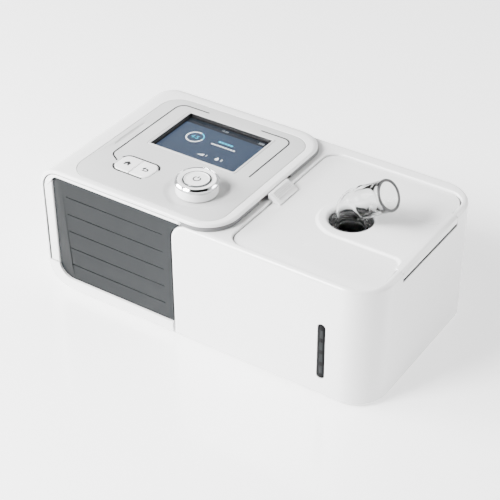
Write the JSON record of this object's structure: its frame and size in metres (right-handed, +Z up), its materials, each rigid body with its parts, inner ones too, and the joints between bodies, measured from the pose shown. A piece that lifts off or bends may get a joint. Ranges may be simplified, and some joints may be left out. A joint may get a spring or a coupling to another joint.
{
  "type": "mechanical ventilator",
  "caption": "Bedside pressure ventilator with round-cornered case, colour display, rotary knob, keys, and a heated humidifier under a hinged lid with a clear swivel elbow.",
  "frame": {"origin": "middle of the underside of the four feet, at the centre of the overall box", "axes": "+X to the humidifier side (the user's right), +Y to the back, +Z up"},
  "size_m": [0.27, 0.1474, 0.1332],
  "materials": {
    "white_casing": "glossy white moulded plastic",
    "control_plastic": "satin pale grey moulded plastic",
    "slate_panel": "satin slate grey plastic",
    "grey_frame": "matt mid grey plastic",
    "black_plastic": "matt black plastic",
    "chrome_ring": "polished chrome",
    "stainless_steel": "plain stainless steel",
    "screen_glass": "clear hard-coated window",
    "display_face": "dark blue colour display",
    "clear_plastic": "clear polycarbonate",
    "smoked_lens": "smoked clear plastic",
    "black_rubber": "matt black rubber",
    "pale_silicone": "pale grey silicone",
    "grey_foam": "open-cell foam",
    "filter_fibre": "white filter fibre",
    "circuit_board": "green circuit board"
  },
  "bodies": {
    "main_unit": {"top_casing": "white_casing", "base_tray": "white_casing", "front_bezel": "white_casing", "humidifier_housing": "white_casing", "control_panel": "control_plastic", "screen_bezel": "control_plastic", "level_scale": "control_plastic", "front_panel": "slate_panel", "middle_frame": "grey_frame", "encoder_body": "grey_frame", "blower_base": "grey_frame", "blower_cover": "grey_frame", "dc_inlet": "black_plastic", "motor_can": "stainless_steel", "heater_plate": "stainless_steel", "tank_base_plate": "stainless_steel", "hinge_pin": "stainless_steel", "case_screw_1": "stainless_steel", "case_screw_2": "stainless_steel", "case_screw_3": "stainless_steel", "case_screw_4": "stainless_steel", "screen_window": "screen_glass", "display_module": "display_face", "water_tank": "clear_plastic", "outlet_duct": "clear_plastic", "level_window": "smoked_lens", "motor_damper": "black_rubber", "foot_front_left": "black_rubber", "foot_back_left": "black_rubber", "foot_front_right": "black_rubber", "foot_back_right": "black_rubber", "key_mat": "pale_silicone", "duct_seal": "pale_silicone", "heater_insulator": "pale_silicone", "silencer_foam": "grey_foam", "inlet_filter": "filter_fibre", "display_board": "circuit_board", "main_board": "circuit_board", "power_board": "circuit_board"},
    "lid": {"lid": "white_casing", "lid_liner": "white_casing", "lid_seal": "pale_silicone", "outlet_collar": "black_plastic"},
    "latch": {"latch": "white_casing"},
    "elbow": {"elbow": "clear_plastic", "elbow_seal": "black_rubber"},
    "knob": {"knob_body": "white_casing", "knob_ring": "chrome_ring", "encoder_shaft": "stainless_steel"},
    "start_button": {"start_button": "white_casing"},
    "home_key": {"home_key": "white_casing"},
    "back_key": {"back_key": "white_casing"},
    "rotor": {"impeller": "black_plastic", "rotor_shaft": "stainless_steel"},
    "filter_door": {"filter_door": "white_casing"}
  },
  "joints": [
    {"name": "lid_hinge", "type": "hinge", "parent": "main_unit", "child": "lid", "pos_m": [0.1301, -0.03675, 0.0947], "axis": [0, 1, 0], "range_deg": [0, 95]},
    {"name": "latch_slide", "type": "slide", "parent": "lid", "child": "latch", "axis": [1, 0, 0], "range_m": [0, 0.0022], "stiffness_N_per_m": 300, "springref_m": -0.001},
    {"name": "elbow_swivel", "type": "hinge", "parent": "lid", "child": "elbow", "pos_m": [0.0767, -0.00305, 0.0915], "axis": [0, 0, 1], "continuous": true},
    {"name": "knob_turn", "type": "hinge", "parent": "main_unit", "child": "knob", "pos_m": [-0.023, -0.03975, 0.1016], "axis": [0, 0, 1], "continuous": true},
    {"name": "start_press", "type": "slide", "parent": "main_unit", "child": "start_button", "axis": [0, 0, -1], "range_m": [0, 0.0008], "stiffness_N_per_m": 400, "springref_m": -0.0008},
    {"name": "home_press", "type": "slide", "parent": "main_unit", "child": "home_key", "axis": [0, 0, -1], "range_m": [0, 0.0008], "stiffness_N_per_m": 300, "springref_m": -0.0008},
    {"name": "back_press", "type": "slide", "parent": "main_unit", "child": "back_key", "axis": [0, 0, -1], "range_m": [0, 0.0008], "stiffness_N_per_m": 300, "springref_m": -0.0008},
    {"name": "rotor_spin", "type": "hinge", "parent": "main_unit", "child": "rotor", "pos_m": [-0.079, -0.01775, 0.022], "axis": [0, 0, 1], "continuous": true},
    {"name": "filter_door_hinge", "type": "hinge", "parent": "main_unit", "child": "filter_door", "pos_m": [-0.115, 0.07245, 0.0408], "axis": [-1, 0, 0], "range_deg": [0, 95]}
  ]
}
